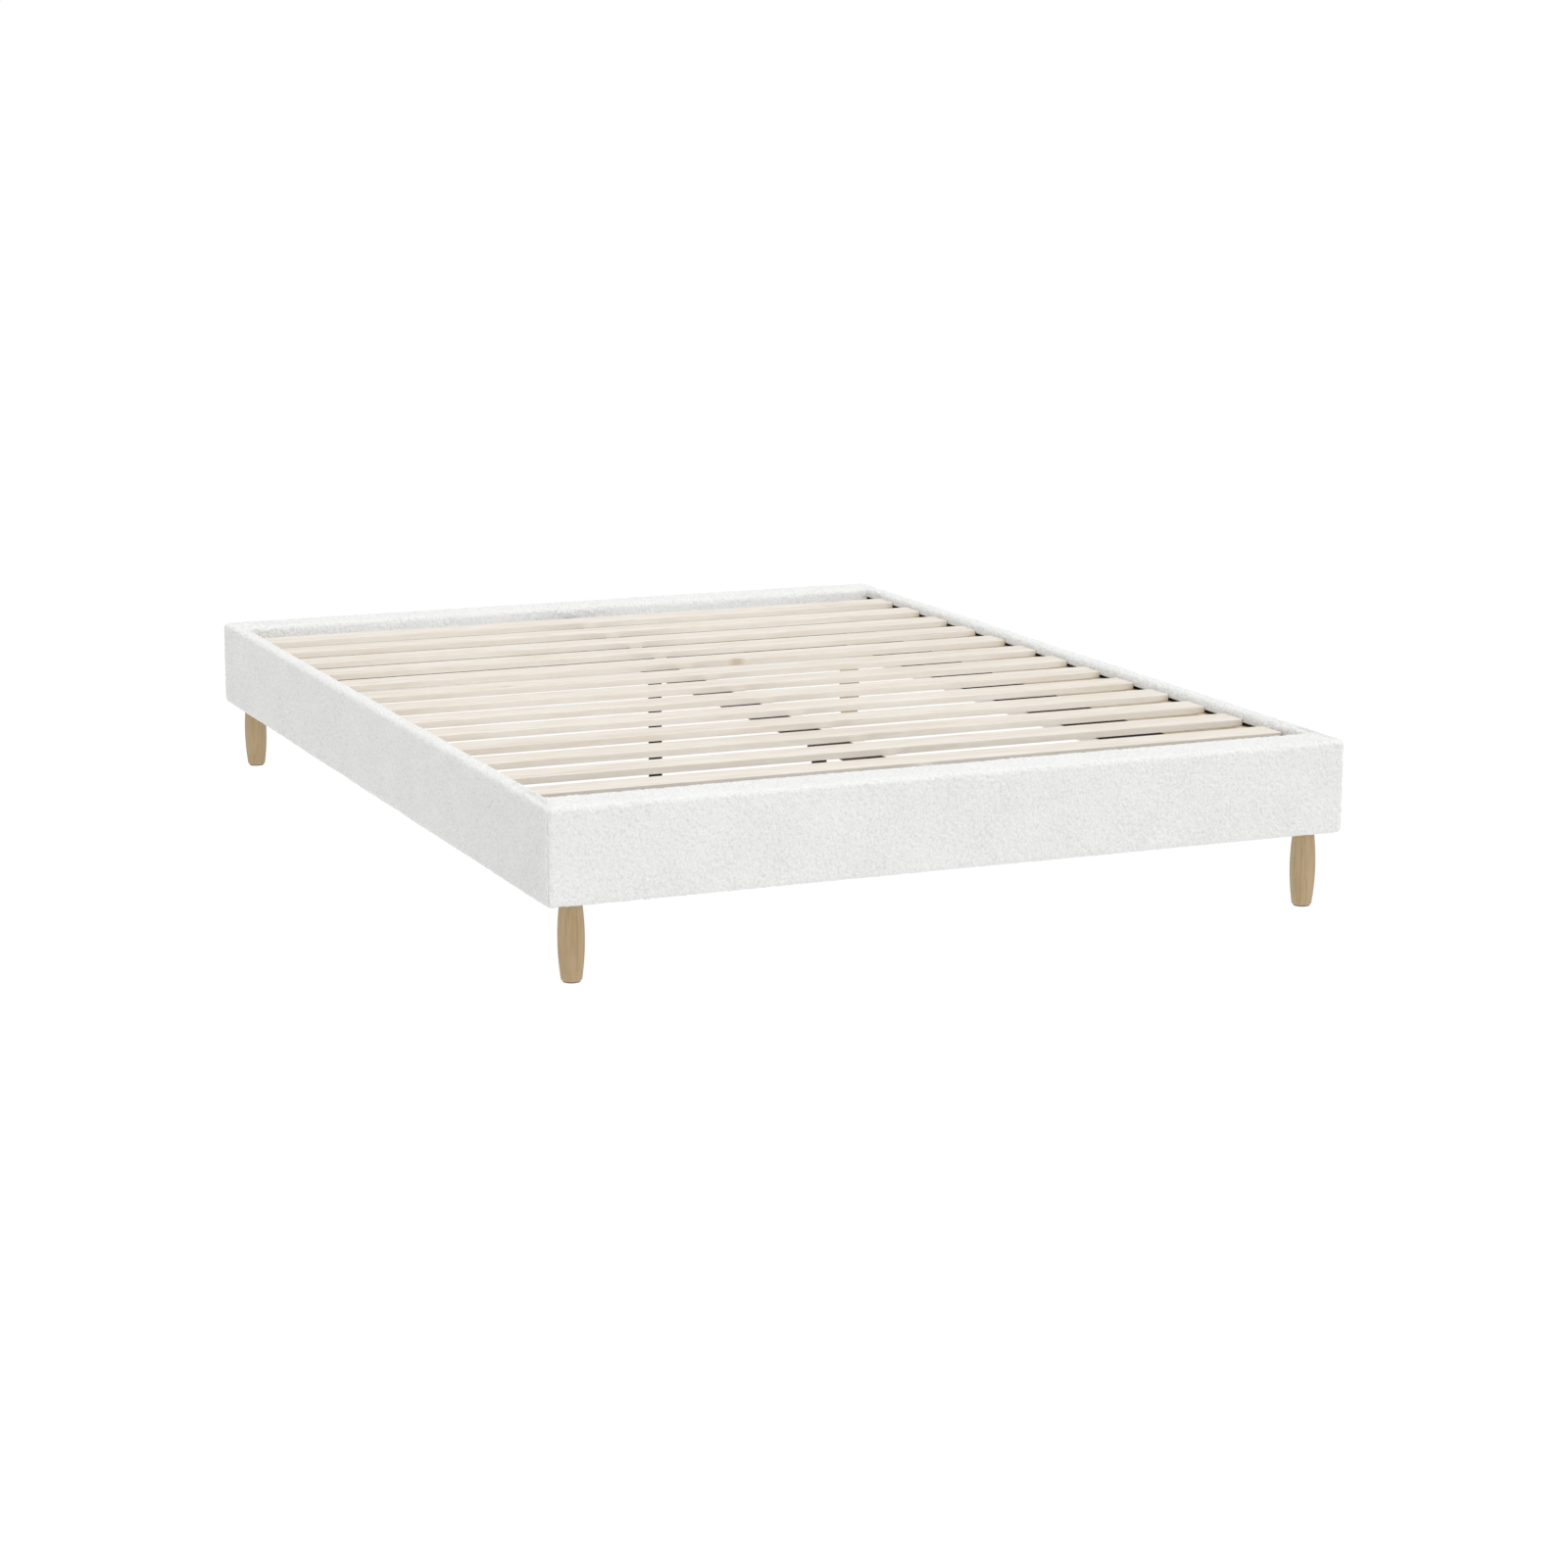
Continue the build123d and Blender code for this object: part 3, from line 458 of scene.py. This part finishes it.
class Shader:
    """A material's node tree with short calls for adding and joining nodes."""

    def __init__(self, name, **settings):
        self.material = bpy.data.materials.new(name)
        self.material.use_nodes = True
        self.nodes = self.material.node_tree.nodes
        self.links = self.material.node_tree.links
        self.surface = self.nodes["Principled BSDF"]
        for socket, value in settings.items():
            self.surface.inputs[socket.replace("_", " ")].default_value = value
        coordinates = self.add("ShaderNodeTexCoord").outputs
        self.place = coordinates["Object"]
        self.facing = coordinates["Normal"]

    def add(self, kind, inputs=None, **properties):
        node = self.nodes.new(kind)
        for key, value in properties.items():
            setattr(node, key, value)
        for socket, value in (inputs or {}).items():
            if isinstance(value, bpy.types.NodeSocket):
                self.links.new(value, node.inputs[socket])
            else:
                node.inputs[socket].default_value = value
        return node

    def stretched(self, scale):
        """Object coordinates, scaled differently along each axis."""
        return self.add("ShaderNodeMapping", {"Vector": self.place, "Scale": scale}).outputs["Vector"]

    def noise(self, vector, scale, detail=3.0, roughness=0.5, distortion=0.0):
        inputs = {
            "Vector": vector,
            "Scale": scale,
            "Detail": detail,
            "Roughness": roughness,
            "Distortion": distortion,
        }
        return self.add("ShaderNodeTexNoise", inputs).outputs["Fac"]

    def math(self, operation, a, b):
        return self.add("ShaderNodeMath", {0: a, 1: b}, operation=operation).outputs["Value"]

    def ramp(self, factor, *stops):
        """Colours or greys at places along the factor."""
        node = self.add("ShaderNodeValToRGB", {"Fac": factor})
        elements = node.color_ramp.elements
        while len(elements) < len(stops):
            elements.new(0.5)
        for element, (place, colour) in zip(elements, stops):
            element.position = place
            element.color = (*colour, 1) if isinstance(colour, tuple) else (colour, colour, colour, 1)
        return node.outputs["Color"]

    def mix(self, factor, a, b, blend="MIX"):
        node = self.add("ShaderNodeMix", {"Factor": factor}, data_type="RGBA", blend_type=blend)
        for socket, value in ((node.inputs[6], a), (node.inputs[7], b)):
            if isinstance(value, bpy.types.NodeSocket):
                self.links.new(value, socket)
            else:
                socket.default_value = (*value, 1)
        return node.outputs[2]

    def finish(self, colour=None, roughness=None, height=None, strength=0.5, distance=0.001):
        if colour is not None:
            self.links.new(colour, self.surface.inputs["Base Color"])
        if roughness is not None:
            self.links.new(roughness, self.surface.inputs["Roughness"])
        if height is not None:
            inputs = {"Height": height, "Strength": strength, "Distance": distance}
            bump = self.add("ShaderNodeBump", inputs)
            self.links.new(bump.outputs["Normal"], self.surface.inputs["Normal"])
        return self.material


def boucle():
    """Off-white looped pile: bent cells for the curls, with painted shade between them, and fine fibres.
    """
    shader = Shader(
        "boucle_fabric",
        Roughness=0.95,
        Sheen_Weight=0.3,
        Sheen_Roughness=0.45,
        Specular_IOR_Level=0.2,
    )
    wander = shader.add("ShaderNodeTexNoise", {"Vector": shader.place, "Scale": 260.0, "Detail": 2.0})
    pull = shader.add(
        "ShaderNodeVectorMath",
        {0: wander.outputs["Color"], 1: (0.006, 0.006, 0.006)},
        operation="MULTIPLY",
    )
    bent = shader.add("ShaderNodeVectorMath", {0: shader.place, 1: pull.outputs["Vector"]})
    cells = shader.add("ShaderNodeTexVoronoi", {"Vector": bent.outputs["Vector"], "Scale": 210.0})
    curls = cells.outputs["Distance"]
    fibres = shader.noise(shader.place, 1500.0, 2.0)
    # Painted shade: the colour darkens away from each curl's middle, into the gaps between curls.
    tone = shader.ramp(curls, (0.0, FABRIC_HIGH), (0.45, FABRIC_MIDDLE), (0.95, FABRIC_PAINTED_CREVICE_SHADE))
    patch = shader.ramp(shader.noise(shader.place, 9.0, 3.0), (0.3, 0.965), (0.7, 1.0))
    colour = shader.mix(1.0, tone, patch, "MULTIPLY")
    sunk = shader.math("MULTIPLY", curls, -1.0)
    height = shader.math("ADD", sunk, shader.math("MULTIPLY", fibres, 0.25))
    return shader.finish(colour, height=height, strength=0.8, distance=0.0018)


def slat_marks(shader, colour):
    """A slat's faces along Y painted paler, as painted light that lifts their shade, and its few faint
    knots.
    """
    facing = shader.add("ShaderNodeSeparateXYZ", {"Vector": shader.facing})
    # Faces that point along Y are painted paler: painted light on the slats' front and back faces.
    y_facing = shader.math("ABSOLUTE", facing.outputs["Y"], 0.0)
    painted_edge_light = shader.mix(shader.math("MULTIPLY", y_facing, SLAT_EDGE_PAINTED_LIGHT_SHARE), colour, SLAT_EDGE_PAINTED_LIGHT)
    places = shader.stretched(KNOT_SPREAD)
    spots = shader.add("ShaderNodeTexVoronoi", {"Vector": places, "Scale": 1.0})
    core = shader.ramp(spots.outputs["Distance"], (0.018, KNOT), (0.068, (1.0, 1.0, 1.0)))
    return shader.mix(0.75, painted_edge_light, core, "MULTIPLY")


def wood(name, grain_axis, light, dark, line_tone, roughness, ring_scale=70.0, slat=False):
    """Sawn wood: soft bands, fine lines and pores that run along one axis."""
    shader = Shader(name, Roughness=roughness, Specular_IOR_Level=0.2)

    def grained(along, across):
        return shader.stretched([along if axis == grain_axis else across for axis in "XYZ"])

    bands = shader.noise(grained(0.6, 9.0), 2.2, 4.0, 0.55, 0.6)
    lines = shader.noise(grained(1.0, ring_scale / 6), 9.0, 5.0, 0.65, 0.3)
    pores = shader.noise(grained(3.0, 110.0), 8.0, 2.0)
    body = shader.ramp(bands, (0.3, dark), (0.62, light))
    streaks = shader.ramp(lines, (0.36, line_tone), (0.56, (1.0, 1.0, 1.0)))
    colour = shader.mix(0.75, body, streaks, "MULTIPLY")
    if slat:
        colour = slat_marks(shader, colour)
    height = shader.math("ADD", lines, shader.math("MULTIPLY", pores, 0.4))
    satin = shader.ramp(pores, (0.3, roughness - 0.06), (0.7, roughness + 0.08))
    return shader.finish(colour, satin, height, strength=0.25, distance=0.0004)


def coated_metal(name, colour, roughness, speckle):
    """A dark powder coat or moulded plastic: fine grit in its tone and height, duller in patches."""
    shader = Shader(name, Roughness=roughness, Specular_IOR_Level=0.1)
    grit = shader.noise(shader.place, 1400.0, 3.0)
    low = tuple(channel * 0.8 for channel in colour)
    high = tuple(channel * speckle for channel in colour)
    tone = shader.ramp(grit, (0.3, low), (0.7, high))
    smears = shader.noise(shader.place, 30.0, 4.0)
    worn = shader.ramp(smears, (0.3, roughness - 0.05), (0.7, roughness + 0.1))
    return shader.finish(tone, worn, grit, strength=0.3, distance=0.0003)


def zinc():
    """Zinc-plated steel with a faint spangle and brushed lines."""
    shader = Shader("zinc_steel", Metallic=1.0, Roughness=0.35)
    spangle = shader.add("ShaderNodeTexVoronoi", {"Vector": shader.place, "Scale": 350.0})
    tone = shader.mix(0.12, (0.62, 0.63, 0.62), spangle.outputs["Color"])
    dull = shader.ramp(shader.noise(shader.place, 60.0, 4.0), (0.3, 0.3), (0.7, 0.48))
    brushed = shader.noise(shader.stretched((40.0, 40.0, 400.0)), 6.0, 2.0)
    return shader.finish(tone, dull, brushed, strength=0.15, distance=0.0002)


def felt(name, light, dark, sheen=0.4):
    """Matted fibres with small flecks."""
    shader = Shader(
        name,
        Roughness=0.95,
        Sheen_Weight=sheen,
        Sheen_Roughness=0.6,
        Specular_IOR_Level=0.2,
    )
    matted = shader.noise(shader.place, 420.0, 5.0, 0.7, 1.5)
    flecks = shader.noise(shader.place, 1800.0, 2.0)
    tone = shader.ramp(matted, (0.3, dark), (0.68, light))
    height = shader.math("ADD", matted, shader.math("MULTIPLY", flecks, 0.5))
    return shader.finish(tone, height=height, strength=0.6, distance=0.0008)


def plywood():
    """Birch ply: a wandering face figure with faint veneer lines."""
    shader = Shader("plywood", Roughness=0.6, Specular_IOR_Level=0.3)
    figure = shader.noise(shader.stretched((1.2, 1.2, 14.0)), 5.0, 5.0, 0.6, 1.2)
    tone = shader.ramp(figure, (0.3, (0.36, 0.23, 0.12)), (0.7, (0.55, 0.39, 0.23)))
    veneers = shader.add("ShaderNodeTexWave", {"Vector": shader.place, "Scale": 90.0, "Distortion": 1.0})
    height = shader.math("ADD", figure, shader.math("MULTIPLY", veneers.outputs["Fac"], 0.2))
    return shader.finish(tone, height=height, strength=0.3, distance=0.0006)


looks = {
    "boucle_fabric": boucle(),
    "pine_slat": wood("pine_slat", "X", PINE_LIGHT, PINE_DARK, PINE_LINE, 0.55, slat=True),
    "ledge_wood": wood("ledge_wood", "Y", (0.66, 0.56, 0.42), (0.55, 0.44, 0.31), PINE_LINE, 0.6),
    "block_wood": wood("block_wood", "Z", (0.60, 0.47, 0.30), (0.48, 0.35, 0.21), PINE_LINE, 0.65),
    "dowel_wood": wood("dowel_wood", "Z", (0.62, 0.45, 0.27), (0.52, 0.36, 0.2), LEG_LINE, 0.5, 140.0),
    "leg_wood": wood("leg_wood", "Z", LEG_LIGHT, LEG_DARK, LEG_LINE, 0.5, 120.0),
    "plywood": plywood(),
    "black_steel": coated_metal("black_steel", (0.025, 0.018, 0.010), 0.42, 1.3),
    "black_plastic": coated_metal("black_plastic", (0.018, 0.015, 0.012), 0.5, 1.2),
    "black_lining": felt("black_lining", (0.024, 0.018, 0.011), (0.011, 0.008, 0.005), sheen=0.06),
    "cream_felt": felt("cream_felt", (0.86, 0.84, 0.80), (0.74, 0.72, 0.68)),
    "glide_felt": felt("glide_felt", (0.22, 0.16, 0.1), (0.13, 0.09, 0.055)),
    "zinc_steel": zinc(),
}
for cover in covers.values():
    cover.data.materials.append(looks["boucle_fabric"])
slot_of = {part["node"]: part["material_slot"] for part in frame["record"]["subparts"]}
for name, node in frame["nodes"].items():
    look = looks.get(slot_of[name])
    if look is not None:
        for slot in node.material_slots:
            slot.material = look

# ---------------------------------------------------------------- floor, light and camera
# The world is bright at the horizon, so that it meets the white floor, and dimmer above it.
# A sun has a strength and the direction in which it shines.
FLOOR_HALF = 400.0
FLOOR_TONE = (0.020, 0.024)
FLOOR_GLOW = 1.0
HORIZON_RISE = (0.015, 0.05)
HORIZON_STRENGTH = 1.03
SKY_STRENGTH = 0.79
SUN_SPREAD = math.radians(35)
SUNS = {
    "key": (1.14, (-0.22, 0.10, -0.97)),
    "front_fill": (0.32, (-0.30, 0.84, -0.45)),
}
CAMERA_LENS = 83.73
CAMERA_PLACE = (-2.835, -6.9572, 1.6277)
CAMERA_TILT = math.radians(90 - 11.5286)
CAMERA_TURN = math.radians(-22.992)

floor_mesh = bpy.data.meshes.new("floor")
floor_corners = [(x * FLOOR_HALF, y * FLOOR_HALF, 0) for x, y in ((-1, -1), (1, -1), (1, 1), (-1, 1))]
floor_mesh.from_pydata(floor_corners, [], [(0, 1, 2, 3)])
floor = bpy.data.objects.new("floor", floor_mesh)
bpy.context.scene.collection.objects.link(floor)
floor_look = Shader("pale_floor", Roughness=0.9, Specular_IOR_Level=0.0, Emission_Strength=FLOOR_GLOW)
floor_look.surface.inputs["Emission Color"].default_value = (1.0, 1.0, 1.0, 1.0)
floor_mottle = floor_look.noise(floor_look.place, 3.0, 4.0)
floor_tone = floor_look.ramp(floor_mottle, (0.3, FLOOR_TONE[0]), (0.7, FLOOR_TONE[1]))
floor_mesh.materials.append(floor_look.finish(floor_tone))

world = bpy.data.worlds.new("studio")
world.use_nodes = True
sky = world.node_tree.nodes
sky_links = world.node_tree.links
upward = sky.new("ShaderNodeSeparateXYZ")
sky_links.new(sky.new("ShaderNodeTexCoord").outputs["Generated"], upward.inputs["Vector"])
lift = sky.new("ShaderNodeMapRange")
lift.inputs["From Min"].default_value = HORIZON_RISE[0]
lift.inputs["From Max"].default_value = HORIZON_RISE[1]
lift.inputs["To Min"].default_value = HORIZON_STRENGTH
lift.inputs["To Max"].default_value = SKY_STRENGTH
sky_links.new(upward.outputs["Z"], lift.inputs["Value"])
sky_links.new(lift.outputs["Result"], sky["Background"].inputs["Strength"])
sky["Background"].inputs["Color"].default_value = (1.0, 1.0, 1.0, 1.0)
bpy.context.scene.world = world

for light_name, (energy, direction) in SUNS.items():
    sun_data = bpy.data.lights.new(light_name, "SUN")
    sun_data.energy = energy
    sun_data.angle = SUN_SPREAD
    sun = bpy.data.objects.new(light_name, sun_data)
    sun.rotation_euler = Vector(direction).to_track_quat("-Z", "Y").to_euler()
    bpy.context.scene.collection.objects.link(sun)

camera_data = bpy.data.cameras.new("camera")
camera_data.sensor_width = 36.0
camera_data.lens = CAMERA_LENS
camera = bpy.data.objects.new("camera", camera_data)
camera.location = CAMERA_PLACE
camera.rotation_euler = Euler((CAMERA_TILT, 0, CAMERA_TURN))
bpy.context.scene.collection.objects.link(camera)
bpy.context.scene.camera = camera
bpy.context.scene.view_settings.view_transform = "Standard"
